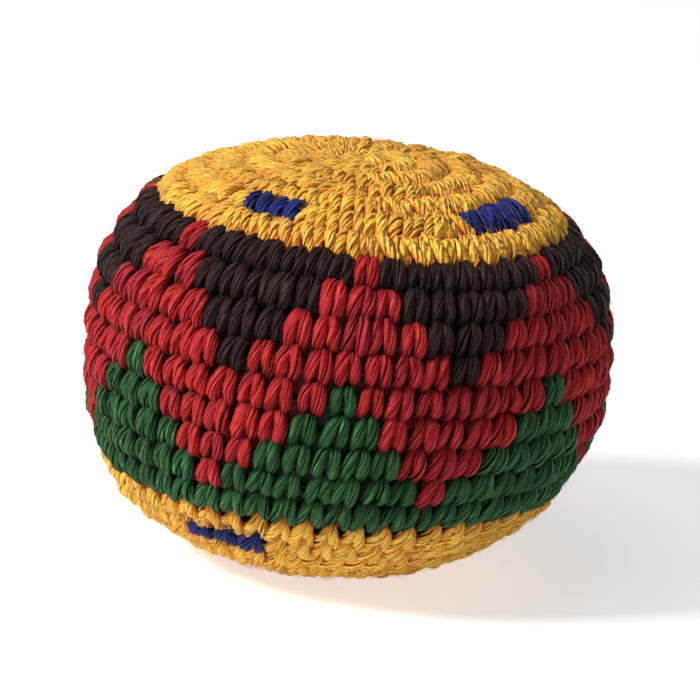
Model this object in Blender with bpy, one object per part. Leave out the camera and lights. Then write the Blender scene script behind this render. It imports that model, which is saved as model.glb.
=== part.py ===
# Crocheted footbag: a squat ball of tapestry crochet over loose pellets.
# Metres, +Z up, and -Y is the front. The origin is on the flat that it rests on, under the crown's centre.
# The fabric is one net of stitches. Each colour of yarn is cut from that net as its own piece.

import math

import bmesh
import bpy

# Body outline, over the crests of the stitches
WIDEST_RADIUS = 0.0275
UPPER_WALL_HEIGHT = 0.0151
CROWN_DOME_HEIGHT = 0.0055
LOWER_WALL_DEPTH = 0.0127
BASE_BOWL_DEPTH = 0.0104
CROWN_EXPONENT = 2.65
BASE_EXPONENT = 2.3

# How deep the base is pressed flat where the bag stands on it
PRESSED_DEPTH = 0.0005

# How far the pellets have pushed the base's middle aside, and how soon the slump starts below the widest row
BASE_SLUMP = 0.0018
SLUMP_EXPONENT = 1.3

# Fabric
FABRIC_THICKNESS = 0.0020
STITCH_RISE = 0.0009
STITCH_SLOPE = 0.0007
COLOUR_GAP = 0.0003

# Crochet counts
PATTERN_REPEATS = 7
STITCHES_PER_REPEAT = 8
PATTERN_ROWS = 9
ZIGZAG_ROWS = 4
CROWN_ROUND_COUNT = 7
INCREASE_COUNT = 8
STRAIGHT_ROUND_COUNT = 2

# How far each row turns against the row above, and how far the middle red peak lies from the front
ROW_LEAN_ANGLE = math.radians(-0.9)
PEAK_ANGLE = math.radians(3.5)

# Blue accents: the round that holds them, counted from the zigzag, and stitch counts for each: the one
# it starts at, counted from the middle red peak, and how many it takes
ACCENT_ROUND_NUMBER = 2
CROWN_ACCENT_COUNTS = ((-6, 3), (5, 4), (18, 3), (26, 4))
BASE_ACCENT_COUNTS = ((-5, 4), (15, 4), (33, 4))

# Yarn loops that gather the first and the last round, and the knot that ends the yarn
YARN_RADIUS = 0.0006
GATHER_RADIUS = 0.0022
KNOT_RADIUS = 0.0012
INNER_CLEARANCE = 0.0003

# Pellets
FILL_CLEARANCE = 0.0004

# How finely the round shapes are drawn
OUTLINE_SAMPLES = 800
FILL_STEPS = 48
FILL_RINGS = 9
LOOP_SEGMENTS = 20
LOOP_SIDES = 8
KNOT_SEGMENTS = 12
MERGE_DISTANCE = 0.00001
SMOOTH_ANGLE = math.radians(50)

# Colours (linear RGB), roughness and metallic value of each yarn and of the pellets
MATERIALS = {
    "yellow_yarn": ((0.82, 0.48, 0.05), 0.8, 0.0),
    "brown_yarn": ((0.035, 0.016, 0.014), 0.85, 0.0),
    "red_yarn": ((0.50, 0.018, 0.022), 0.8, 0.0),
    "green_yarn": ((0.022, 0.115, 0.034), 0.8, 0.0),
    "blue_yarn": ((0.018, 0.024, 0.17), 0.8, 0.0),
    "pellets": ((0.78, 0.76, 0.70), 0.5, 0.0),
}

# Derived sizes
CROWN_HEIGHT = UPPER_WALL_HEIGHT + CROWN_DOME_HEIGHT
BASE_DEPTH = LOWER_WALL_DEPTH + BASE_BOWL_DEPTH
EQUATOR_Z = BASE_DEPTH - PRESSED_DEPTH
WALL = STITCH_RISE + FABRIC_THICKNESS
STITCHES_AROUND = PATTERN_REPEATS * STITCHES_PER_REPEAT
BASE_ROUND_COUNT = CROWN_ROUND_COUNT + STRAIGHT_ROUND_COUNT
BASE_START = CROWN_ROUND_COUNT + PATTERN_ROWS
LAST_LINE = BASE_START + BASE_ROUND_COUNT


# Outline

def half_shape(upward):
    if upward:
        return CROWN_HEIGHT, CROWN_EXPONENT
    return BASE_DEPTH, BASE_EXPONENT


def crest_point(angle):
    # angle runs from a quarter turn at the crown's centre to minus a quarter turn at the base's
    height, exponent = half_shape(angle >= 0)
    radius = WIDEST_RADIUS * max(math.cos(angle), 0) ** (2 / exponent)
    rise = height * abs(math.sin(angle)) ** (2 / exponent)
    return radius, math.copysign(rise, angle)


def outward(radius, rise):
    # the direction square to the outline, as its radial and its upward share
    height, exponent = half_shape(rise >= 0)
    across = (radius / WIDEST_RADIUS) ** (exponent - 1) / WIDEST_RADIUS
    along = math.copysign((abs(rise) / height) ** (exponent - 1) / height, rise)
    length = math.hypot(across, along)
    return across / length, along / length


def sunk(radius, rise, depth):
    across, along = outward(radius, rise)
    return radius - across * depth, rise - along * depth


def even_stops(from_rise, to_rise, count):
    # points along the outline, the same distance apart, from one height down to another
    quarter = math.pi / 2
    path = [crest_point(quarter - 2 * quarter * i / OUTLINE_SAMPLES) for i in range(OUTLINE_SAMPLES + 1)]
    path = [point for point in path if to_rise <= point[1] <= from_rise]
    lengths = [0.0]
    for here, there in zip(path, path[1:]):
        lengths.append(lengths[-1] + math.dist(here, there))
    stops = []
    index = 0
    for stop in range(count + 1):
        wanted = lengths[-1] * stop / count
        while index < len(path) - 2 and lengths[index + 1] < wanted:
            index += 1
        share = (wanted - lengths[index]) / (lengths[index + 1] - lengths[index])
        here, there = path[index], path[index + 1]
        stops.append((here[0] + (there[0] - here[0]) * share, here[1] + (there[1] - here[1]) * share))
    return stops


# Stitch net: lines run round the bag from the crown's centre, line 0, to the base's centre, and each row
# of stitches lies under the line of its own number

def line_stops():
    crown = even_stops(CROWN_HEIGHT, UPPER_WALL_HEIGHT, CROWN_ROUND_COUNT)
    side = even_stops(UPPER_WALL_HEIGHT, -LOWER_WALL_DEPTH, PATTERN_ROWS)
    base = even_stops(-LOWER_WALL_DEPTH, -BASE_DEPTH, BASE_ROUND_COUNT)
    return crown + side[1:] + base[1:]


def line_stitches(line):
    # the crown's rounds each add the same number of stitches, and the base's take them away again
    return min(INCREASE_COUNT * min(line, LAST_LINE - line), STITCHES_AROUND)


def row_stitches(row):
    return max(line_stitches(row), line_stitches(row + 1))


def line_turn(line):
    # the angle from +X of the line's first stitch edge
    front = math.radians(-90)
    half_stitch = math.pi / STITCHES_AROUND
    return front - half_stitch + PEAK_ANGLE + ROW_LEAN_ANGLE * (line - CROWN_ROUND_COUNT)


def line_verts(bm, line, stop):
    radius, rise = sunk(*stop, STITCH_RISE)
    count = line_stitches(line)
    if count == 0:
        return [bm.verts.new((0, 0, EQUATOR_Z + rise))]
    angles = [line_turn(line) + 2 * math.pi * i / count for i in range(count)]
    return [bm.verts.new((radius * math.cos(a), radius * math.sin(a), EQUATOR_Z + rise)) for a in angles]


def row_faces(bm, upper, lower, row):
    # one face to a stitch of the wider line; each stitch that the narrower line lacks comes to a point
    wide, narrow = (upper, lower) if len(upper) > len(lower) else (lower, upper)
    sector = len(wide) // INCREASE_COUNT
    kept = len(narrow) // INCREASE_COUNT
    pointed = sector if kept == sector else row * sector // 2 % sector
    for column in range(len(wide)):
        turn, place = divmod(column, sector)
        partner = turn * kept + place - (place > pointed)
        corners = [wide[column], wide[(column + 1) % len(wide)]]
        if place != pointed:
            corners.append(narrow[(partner + 1) % len(narrow)])
        corners.append(narrow[partner % len(narrow)])
        yield column, bm.faces.new(corners)


def stitch_net(names):
    # the whole fabric as an open surface, with the number of its piece kept on each stitch
    bm = bmesh.new()
    piece_layer = bm.faces.layers.int.new("piece")
    lines = [line_verts(bm, line, stop) for line, stop in enumerate(line_stops())]
    for row, (upper, lower) in enumerate(zip(lines, lines[1:])):
        for column, face in row_faces(bm, upper, lower, row):
            name = piece_of(row, column)
            if name not in names:
                names.append(name)
            face[piece_layer] = names.index(name)
    bmesh.ops.recalc_face_normals(bm, faces=bm.faces)
    return bm


# Colour pattern

def accent_name(place, accents, row, column):
    for number, (first, width) in enumerate(accents, start=1):
        if (column - first) % row_stitches(row) < width:
            return f"{place}_accent_{number}"
    return f"{place}_yarn"


def zigzag_piece(row, column):
    # red peaks stand over the first stitch of each repeat, and green peaks stand under the red ones
    from_peak = min(column % STITCHES_PER_REPEAT, -column % STITCHES_PER_REPEAT)
    band, step = divmod(row, ZIGZAG_ROWS)
    inside_peak = from_peak <= step
    if band == 0 and not inside_peak:
        return f"brown_field_{column // STITCHES_PER_REPEAT + 1}"
    if band == 0 or band == 1 and not inside_peak:
        return "red_zigzag"
    return "green_band"


def piece_of(row, column):
    if CROWN_ROUND_COUNT <= row < BASE_START:
        return zigzag_piece(row - CROWN_ROUND_COUNT, column)
    if row == CROWN_ROUND_COUNT - ACCENT_ROUND_NUMBER:
        return accent_name("crown", CROWN_ACCENT_COUNTS, row, column)
    if row == BASE_START + ACCENT_ROUND_NUMBER - 1:
        return accent_name("base", BASE_ACCENT_COUNTS, row, column)
    return "crown_yarn" if row < CROWN_ROUND_COUNT else "base_yarn"


# Pieces of fabric

def pressed_radius():
    # how far out the base is pressed flat
    share = (1 - PRESSED_DEPTH / BASE_DEPTH) ** BASE_EXPONENT
    return WIDEST_RADIUS * (1 - share) ** (1 / BASE_EXPONENT)


def draw_in_edges(bm):
    # half of the gap to the next colour is taken off all round the piece
    rim = bmesh.ops.inset_region(
        bm, faces=bm.faces, thickness=COLOUR_GAP / 2, use_boundary=True, use_even_offset=True
    )
    bmesh.ops.delete(bm, geom=rim["faces"], context="FACES")


def thicken(bm):
    outer = list(bm.faces)
    everything = list(bm.verts) + list(bm.edges) + outer
    made = bmesh.ops.extrude_face_region(bm, geom=everything, use_keep_orig=True)
    for vert in (item for item in made["geom"] if isinstance(item, bmesh.types.BMVert)):
        radius = math.hypot(vert.co.x, vert.co.y)
        across, along = outward(radius, vert.co.z - EQUATOR_Z)
        if radius > 0:
            vert.co.x -= FABRIC_THICKNESS * across * vert.co.x / radius
            vert.co.y -= FABRIC_THICKNESS * across * vert.co.y / radius
        vert.co.z -= FABRIC_THICKNESS * along
    bmesh.ops.recalc_face_normals(bm, faces=bm.faces)
    return outer


def raise_stitches(bm, outer):
    # every stitch swells into a pad, and the slopes between the pads are the grooves of the crochet
    slopes = bmesh.ops.inset_individual(
        bm, faces=outer, thickness=STITCH_SLOPE, depth=STITCH_RISE, use_even_offset=True
    )
    return {vert for face in outer + slopes["faces"] for vert in face.verts}


def press_flat(verts):
    flat_radius = pressed_radius()
    for vert in verts:
        inside = math.hypot(vert.co.x, vert.co.y) < flat_radius
        if vert.co.z < 0 or inside and vert.co.z < EQUATOR_Z:
            vert.co.z = 0


def fabric_piece(net, names, name):
    bm = net.copy()
    piece_layer = bm.faces.layers.int["piece"]
    others = [face for face in bm.faces if face[piece_layer] != names.index(name)]
    bmesh.ops.delete(bm, geom=others, context="FACES")
    draw_in_edges(bm)
    outer = thicken(bm)
    press_flat(raise_stitches(bm, outer))
    mesh = bpy.data.meshes.new(name)
    bm.to_mesh(mesh)
    bm.free()
    return bpy.data.objects.new(name, mesh)


# Inside

def gather_ring(name, centre_z):
    bpy.ops.mesh.primitive_torus_add(
        major_radius=GATHER_RADIUS,
        minor_radius=YARN_RADIUS,
        major_segments=LOOP_SEGMENTS,
        minor_segments=LOOP_SIDES,
        location=(0, 0, centre_z),
    )
    bpy.context.object.name = name
    return bpy.context.object


def finishing_knot(base_inside):
    bpy.ops.mesh.primitive_uv_sphere_add(
        radius=KNOT_RADIUS,
        segments=KNOT_SEGMENTS,
        ring_count=KNOT_SEGMENTS // 2,
        location=(0, 0, base_inside + INNER_CLEARANCE + KNOT_RADIUS),
    )
    bpy.context.object.name = "finishing_knot"
    return bpy.context.object


def fill_outline(crown_inside, base_inside):
    # from the middle of the settled top, down the outer side, to the middle of the pocket round the knot
    top = crown_inside - 2 * (YARN_RADIUS + INNER_CLEARANCE)
    pocket_radius = GATHER_RADIUS + YARN_RADIUS + INNER_CLEARANCE
    pocket_top = base_inside + 2 * (KNOT_RADIUS + INNER_CLEARANCE)
    points = []
    for i in range(2 * FILL_RINGS + 1):
        radius, rise = sunk(*crest_point(math.pi / 2 * (1 - i / FILL_RINGS)), WALL + FILL_CLEARANCE)
        if rise > 0:
            points.append((max(radius, 0), min(EQUATOR_Z + rise, top)))
        elif radius > pocket_radius:
            points.append((radius, EQUATOR_Z + rise))
    points.append((pocket_radius, points[-1][1]))
    points.append((pocket_radius, pocket_top))
    points.append((0, pocket_top))
    return points


def pellet_fill(crown_inside, base_inside):
    # one solid for all the loose pellets
    bm = bmesh.new()
    verts = [bm.verts.new((radius, 0, height)) for radius, height in fill_outline(crown_inside, base_inside)]
    edges = [bm.edges.new(pair) for pair in zip(verts, verts[1:])]
    bmesh.ops.spin(
        bm, geom=verts + edges, cent=(0, 0, 0), axis=(0, 0, 1), angle=2 * math.pi, steps=FILL_STEPS, use_merge=True
    )
    bmesh.ops.remove_doubles(bm, verts=bm.verts, dist=MERGE_DISTANCE)
    bmesh.ops.recalc_face_normals(bm, faces=bm.faces)
    mesh = bpy.data.meshes.new("pellet_fill")
    bm.to_mesh(mesh)
    bm.free()
    return bpy.data.objects.new("pellet_fill", mesh)


# Settling

def slump(piece):
    # everything below the widest row leans aside with the pellets
    piece.data.transform(piece.matrix_basis)
    piece.matrix_basis.identity()
    for vert in piece.data.vertices:
        down = 1 - vert.co.z / EQUATOR_Z
        vert.co.x -= BASE_SLUMP * max(down, 0) ** SLUMP_EXPONENT


# Materials and scene

def yarn_of(name):
    yarns = {
        "crown_yarn": "yellow_yarn",
        "base_yarn": "yellow_yarn",
        "crown_accent": "blue_yarn",
        "base_accent": "blue_yarn",
        "brown_field": "brown_yarn",
        "red_zigzag": "red_yarn",
        "green_band": "green_yarn",
        "start_ring": "yellow_yarn",
        "closing_ring": "yellow_yarn",
        "finishing_knot": "yellow_yarn",
        "pellet_fill": "pellets",
    }
    return yarns[name.rstrip("_0123456789")]


def make_materials():
    made = {}
    for name, (colour, roughness, metallic) in MATERIALS.items():
        material = bpy.data.materials.new(name)
        material.use_nodes = True
        shader = material.node_tree.nodes["Principled BSDF"]
        shader.inputs["Base Color"].default_value = (*colour, 1)
        shader.inputs["Roughness"].default_value = roughness
        shader.inputs["Metallic"].default_value = metallic
        made[name] = material
    return made


def clear_scene():
    for item in list(bpy.data.objects):
        bpy.data.objects.remove(item, do_unlink=True)


def main():
    clear_scene()
    collection = bpy.data.collections.new("footbag")
    bpy.context.scene.collection.children.link(collection)
    centre = bpy.data.objects.new("footbag_centre", None)
    collection.objects.link(centre)
    materials = make_materials()
    names = []
    net = stitch_net(names)
    pieces = [fabric_piece(net, names, name) for name in names]
    net.free()
    crown_inside = EQUATOR_Z + CROWN_HEIGHT - WALL
    base_inside = EQUATOR_Z - BASE_DEPTH + WALL
    pieces.append(gather_ring("start_ring", crown_inside - INNER_CLEARANCE - YARN_RADIUS))
    pieces.append(gather_ring("closing_ring", base_inside + INNER_CLEARANCE + YARN_RADIUS))
    pieces.append(finishing_knot(base_inside))
    pieces.append(pellet_fill(crown_inside, base_inside))
    for piece in pieces:
        slump(piece)
        for other in list(piece.users_collection):
            other.objects.unlink(piece)
        collection.objects.link(piece)
        piece.parent = centre
        piece.data.materials.append(materials[yarn_of(piece.name)])
        piece.data.shade_smooth()
        piece.data.set_sharp_from_angle(angle=SMOOTH_ANGLE)


main()
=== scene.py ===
import math

import bmesh
import bpy
import numpy as np
from mathutils import Matrix, Vector


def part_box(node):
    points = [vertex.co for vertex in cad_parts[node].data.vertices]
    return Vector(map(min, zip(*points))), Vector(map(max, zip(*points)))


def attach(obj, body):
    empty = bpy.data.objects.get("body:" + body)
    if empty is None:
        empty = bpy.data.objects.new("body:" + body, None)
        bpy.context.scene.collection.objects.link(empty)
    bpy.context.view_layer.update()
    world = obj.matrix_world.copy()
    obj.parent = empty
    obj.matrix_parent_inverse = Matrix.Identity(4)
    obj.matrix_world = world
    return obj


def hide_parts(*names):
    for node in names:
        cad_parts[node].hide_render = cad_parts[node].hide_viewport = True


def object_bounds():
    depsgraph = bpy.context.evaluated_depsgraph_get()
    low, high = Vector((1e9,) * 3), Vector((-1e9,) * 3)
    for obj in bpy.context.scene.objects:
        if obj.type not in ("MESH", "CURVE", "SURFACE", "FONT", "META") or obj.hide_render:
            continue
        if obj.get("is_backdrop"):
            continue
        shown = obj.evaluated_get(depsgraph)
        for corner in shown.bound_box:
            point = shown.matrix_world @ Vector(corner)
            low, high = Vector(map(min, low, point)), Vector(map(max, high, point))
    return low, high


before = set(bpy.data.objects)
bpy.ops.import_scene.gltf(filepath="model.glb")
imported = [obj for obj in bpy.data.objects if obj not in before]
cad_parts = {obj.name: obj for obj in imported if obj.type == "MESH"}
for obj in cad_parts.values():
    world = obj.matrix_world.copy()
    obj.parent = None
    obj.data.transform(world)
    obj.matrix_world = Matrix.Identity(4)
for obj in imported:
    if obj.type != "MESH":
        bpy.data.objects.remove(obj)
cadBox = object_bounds()  # the solids' own box, before anything is laid over them
mm = 0.001

# Crocheted footbag, dressed. Each stitch is a pair of twisted yarn legs that start in a hole of the round
# above and spread down to the round below, as tapestry crochet shows them when the crown points up.


# the bag's outline over the crests of the stitches, as the solids have it

bag = {
    "widestRadius": 27.5 * mm,
    "upperWall": 15.1 * mm,
    "crownDome": 5.5 * mm,
    "lowerWall": 12.7 * mm,
    "baseBowl": 10.4 * mm,
    "crownExponent": 2.65,
    "baseExponent": 2.3,
    "pressedDepth": 0.5 * mm,
    "pressSoftness": 0.05 * mm,  # how gently the stitches flatten where they meet the floor
    "slump": 1.8 * mm,  # how far the pellets have pushed the middle of the base aside
    "slumpCurve": 1.3,
    "edgeRise": 1.5 * mm,  # how far the rows ride up at the crown's edge, on one side of the bag
    "edgeSide": math.radians(-130),
    "edgeReach": 7 * mm,  # how far above and below that edge they do
    "outlineSamples": 4001,
}
lumps = {
    # what the pellets push into the fabric: waves round the bag, how far each twists on the way down, its start
    "height": 0.14 * mm,
    "waves": ((2, 1.0, 0.4), (3, -1.5, 1.9), (5, 2.0, 4.1), (7, -2.5, 2.7), (4, 3.5, 5.2)),
}
crownHeight = bag["upperWall"] + bag["crownDome"]
baseDepth = bag["lowerWall"] + bag["baseBowl"]
middleHeight = baseDepth - bag["pressedDepth"]  # the widest row's height over the floor


def outlineTable():
    # radius, rise over the widest row and outward direction, at even steps of angle from crown to base
    angle = np.linspace(math.pi / 2, -math.pi / 2, bag["outlineSamples"])
    upper = angle >= 0
    height = np.where(upper, crownHeight, baseDepth)
    exponent = np.where(upper, bag["crownExponent"], bag["baseExponent"])
    radius = bag["widestRadius"] * np.maximum(np.cos(angle), 0) ** (2 / exponent)
    rise = np.copysign(height * np.abs(np.sin(angle)) ** (2 / exponent), angle)
    across = (radius / bag["widestRadius"]) ** (exponent - 1) / bag["widestRadius"]
    along = np.copysign((np.abs(rise) / height) ** (exponent - 1) / height, rise)
    size = np.hypot(across, along)
    arc = np.concatenate([[0], np.cumsum(np.hypot(np.diff(radius), np.diff(rise)))])
    return arc, radius, rise, across / size, along / size


outlineArc, outlineRadius, outlineRise, outlineAcross, outlineAlong = outlineTable()
wholeArc = outlineArc[-1]


def arcAtRise(rise):
    return float(np.interp(-rise, -outlineRise, outlineArc))


crownEdge = arcAtRise(bag["upperWall"])


def onBag(angle, arc, depth):
    # a point of the fabric: its turn round the bag, its way down the outline and its depth under the crests
    sideShare = np.clip(np.cos(angle - bag["edgeSide"]), 0, 1) ** 2
    rideUp = sideShare * np.exp(-((arc - crownEdge) / bag["edgeReach"]) ** 2)
    arc = arc - bag["edgeRise"] * rideUp
    over = arc > wholeArc
    side = np.where((arc < 0) | over, -1.0, 1.0)  # past a centre, the point lies on the far side
    arc = np.where(over, 2 * wholeArc - arc, np.abs(arc))
    across = np.interp(arc, outlineArc, outlineAcross)
    radius = (np.interp(arc, outlineArc, outlineRadius) - across * depth) * side
    rise = np.interp(arc, outlineArc, outlineRise)
    height = middleHeight + rise - np.interp(arc, outlineArc, outlineAlong) * depth
    return np.stack([radius * np.cos(angle), radius * np.sin(angle), height], -1)


def settle(points):
    # the pellets' weight: slight lumps, a base that slips sideways, and stitches pressed flat on the floor
    height = points[..., 2]
    angle = np.arctan2(points[..., 1], points[..., 0])
    down = 1 - height / middleHeight
    push = sum(np.sin(count * angle + twist * math.pi * down + start) for count, twist, start in lumps["waves"])
    wall = np.clip(np.hypot(points[..., 0], points[..., 1]) / bag["widestRadius"], 0, 1) ** 2
    points[..., 0] += lumps["height"] * push * wall * np.cos(angle)
    points[..., 1] += lumps["height"] * push * wall * np.sin(angle)
    points[..., 0] -= bag["slump"] * np.clip(down, 0, 1) ** bag["slumpCurve"]
    points[..., 2] = (height + np.sqrt(height ** 2 + 4 * bag["pressSoftness"] ** 2)) / 2
    return points


# the net of stitches: lines run round the bag from the crown's centre, and each row hangs under its line

crochet = {
    "patternRepeats": 7,
    "stitchesPerRepeat": 8,
    "patternRows": 9,
    "zigzagRows": 4,  # rows from a peak's tip to its foot
    "crownRounds": 7,
    "increases": 8,  # stitches that each crown round adds
    "straightRounds": 2,  # rounds of the base that are as wide as the wall
    "outerRounds": 3,  # how many of the crown's rounds are its outer ones, with the last
    "basePieces": 3,
    "roundsPerPiece": 2,  # of the base
    "crownGrowth": 1.1,  # over 1, the crown's outer rounds are taller than its inner ones
    "rowLean": math.radians(-0.9),  # how far each row turns against the one above
    "peakTurn": math.radians(3.5),
    "accentRound": 2,  # counted from the wall
    # each accent: its first stitch, how many it takes, and how many fat stitches fill it
    "crownAccents": ((-6, 3, 2), (5, 4, 3), (18, 3, 2), (26, 4, 3)),
    "baseAccents": ((-5, 4, 3), (15, 4, 3), (33, 4, 3)),
}
stitchesAround = crochet["patternRepeats"] * crochet["stitchesPerRepeat"]
baseStart = crochet["crownRounds"] + crochet["patternRows"]
lastLine = baseStart + crochet["crownRounds"] + crochet["straightRounds"]


def lineArc(line):
    borders = [0, crownEdge, arcAtRise(-bag["lowerWall"]), wholeArc]
    share = np.clip(np.asarray(line) / crochet["crownRounds"], 0, 1) ** crochet["crownGrowth"]
    line = np.where(share < 1, share * crochet["crownRounds"], line)
    return np.interp(line, [0, crochet["crownRounds"], baseStart, lastLine], borders)


def lineStitches(line):
    return min(crochet["increases"] * min(line, lastLine - line), stitchesAround)


def lineTurn(line):
    halfStitch = math.pi / stitchesAround
    leant = crochet["rowLean"] * (line - crochet["crownRounds"])
    return math.radians(-90) - halfStitch + crochet["peakTurn"] + leant


def rowCells(row):
    # the edges of each stitch of a row: the turn of its left and right side, on its upper and lower line
    counts = [lineStitches(row), lineStitches(row + 1)]
    wide, narrow = max(counts), min(counts)
    sector = wide // crochet["increases"]
    kept = narrow // crochet["increases"]
    pointed = sector if kept == sector else row * sector // 2 % sector  # the stitch that ends in a point
    column = np.arange(wide)
    turn, place = np.divmod(column, sector)
    partner = turn * kept + place - (place > pointed)
    edges = []
    for line, count in zip((row, row + 1), counts):
        if count == wide:
            left, right = column, column + 1
        else:
            left, right = partner, partner + (place != pointed)
        if count == 0:
            left = right = column + 0.5
            count = wide
        start = lineTurn(line)
        edges += [start + 2 * math.pi * left / count, start + 2 * math.pi * right / count]
    return np.stack(edges, -1)  # upper left, upper right, lower left, lower right


def inAccent(accents, row, column):
    around = max(lineStitches(row), lineStitches(row + 1))
    return any((column - first) % around < width for first, width, _ in accents)


def colourOf(row, column):
    # the group that a stitch belongs to
    if crochet["crownRounds"] <= row < baseStart:
        fromPeak = min(column % crochet["stitchesPerRepeat"], -column % crochet["stitchesPerRepeat"])
        band, step = divmod(row - crochet["crownRounds"], crochet["zigzagRows"])
        if band == 0 and fromPeak > step:
            return f"brown {column // crochet['stitchesPerRepeat'] + 1}"
        if band == 0 or band == 1 and fromPeak > step:
            return "red upper" if band == 0 else "red lower"
        return "green peaks" if band == 1 else "green band"
    if row == crochet["crownRounds"] - crochet["accentRound"]:
        if inAccent(crochet["crownAccents"], row, column):
            return "accent"
    if row == baseStart + crochet["accentRound"] - 1:
        if inAccent(crochet["baseAccents"], row, column):
            return "accent"
    if row == crochet["crownRounds"] - 1:
        return "crown border"
    if row < crochet["crownRounds"]:
        return "crown outer" if row >= crochet["crownRounds"] - crochet["outerRounds"] else "crown inner"
    if row == baseStart:
        return "base border"
    piece = (row - baseStart - 1) // crochet["roundsPerPiece"] + 1
    return f"base {min(piece, crochet['basePieces'])}"


# each group is a list of stitches: row number and the four edge turns
groups = {}
for row in range(lastLine):
    for column, edges in enumerate(rowCells(row)):
        groups.setdefault(colourOf(row, column), []).append((row, *edges))


def accentCells(row, first, width, fat):
    # an accent's block of cells, shared out to its fat stitches
    cells = rowCells(row)
    around = len(cells)
    start, end = cells[first % around], cells[(first + width - 1) % around]
    fullTurn = 2 * math.pi
    spans = [((end[1] - start[0]) % fullTurn, start[0]), ((end[3] - start[2]) % fullTurn, start[2])]
    made = []
    for number in range(fat):
        edges = [begin + span * (number + side) / fat for span, begin in spans for side in (0, 1)]
        made.append((row, *edges))
    return made


print("net:", {name: len(cells) for name, cells in groups.items()})


# yarn: plies twisted round a centreline

yarn = {
    "plies": 12,
    "plyOffset": 0.46 * mm,
    "plyRadius": 0.19 * mm,
    "plySides": 3,
    "uneven": 0.12,  # how much a ply's thickness wanders
    "stray": 0.13,  # how much a ply wanders from its place in the twist
    "wanderSections": 3,  # sections of a ply from one change to the next
    "fewestChanges": 4,
    "strandShift": 3.7,  # sets each ply's fibres apart from the next one's
    "strandWrap": 61,
}


def unit(vectors):
    return vectors / np.linalg.norm(vectors, axis=-1, keepdims=True)


def tubeRings(centre, facing, radius, sides):
    # rings round each centreline, with the first corner on the facing side
    along = unit(np.gradient(centre, axis=-2))
    first = unit(facing - along * (facing * along).sum(-1, keepdims=True))
    second = np.cross(along, first)
    turn = 2 * math.pi * np.arange(sides) / sides
    swing = first[..., None, :] * np.cos(turn)[:, None] + second[..., None, :] * np.sin(turn)[:, None]
    return centre[..., None, :] + swing * radius[..., None, None]


def smoothCurve(points, sections):
    # a smooth curve that passes through the points, along the second last axis
    first, last = points[..., :1, :], points[..., -1:, :]
    padded = np.concatenate([2 * first - points[..., 1:2, :], points, 2 * last - points[..., -2:-1, :]], -2)
    place = np.linspace(0, points.shape[-2] - 1, sections)
    index = np.minimum(place.astype(int), points.shape[-2] - 2)
    t = (place - index)[:, None]
    before, here, there, after = (padded[..., index + shift, :] for shift in range(4))
    bend = 2 * before - 5 * here + 4 * there - after
    swing = 3 * here - before - 3 * there + after
    return (2 * here + (there - before) * t + bend * t ** 2 + swing * t ** 3) / 2


def wander(rng, shape, sections, amount):
    # slow random change along a yarn, about 1
    steps = max(yarn["fewestChanges"], sections // yarn["wanderSections"])
    return 1 + amount * smoothCurve(rng.standard_normal((*shape, steps, 1)), sections)[..., 0]


def twistedRings(centre, sideways, thick, twist, phase, look, rng):
    # centre is yarns x sections x 3; gives the rings of every ply: yarns x plies x sections x sides x 3
    yarns, sections = centre.shape[:2]
    along = unit(np.gradient(centre, axis=-2))
    first = unit(sideways - along * (sideways * along).sum(-1, keepdims=True))
    second = np.cross(along, first)
    steps = np.linalg.norm(np.diff(centre, axis=1), axis=-1)
    length = np.concatenate([np.zeros((yarns, 1)), np.cumsum(steps, axis=1)], 1)
    ply = np.arange(look["plies"]) / look["plies"]
    turn = phase[:, None, None] + 2 * math.pi * (ply[None, :, None] + twist[:, None, None] * length[:, None, :])
    turn = turn + look["stray"] * rng.standard_normal((yarns, look["plies"], 1))
    out = first[:, None] * np.cos(turn)[..., None] + second[:, None] * np.sin(turn)[..., None]
    shape = (yarns, look["plies"])
    offset = look["plyOffset"] * wander(rng, shape, sections, look["stray"])
    plyCentre = centre[:, None] + out * (thick[:, None] * offset)[..., None]
    plyThickness = 1 + look["uneven"] * rng.standard_normal((*shape, 1))
    radius = thick[:, None] * look["plyRadius"] * plyThickness * wander(rng, shape, sections, look["uneven"])
    return tubeRings(plyCentre, -out, radius, look["plySides"]), length


def vertexDepth(rings, centre, outward, depth):
    # how far under the crests each corner of the rings lies, in mm
    over = ((rings - centre[:, None, :, None]) * outward[:, None, :, None]).sum(-1)
    return ((depth[:, None, :, None] - over) / mm).reshape(-1, *rings.shape[2:4])


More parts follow.
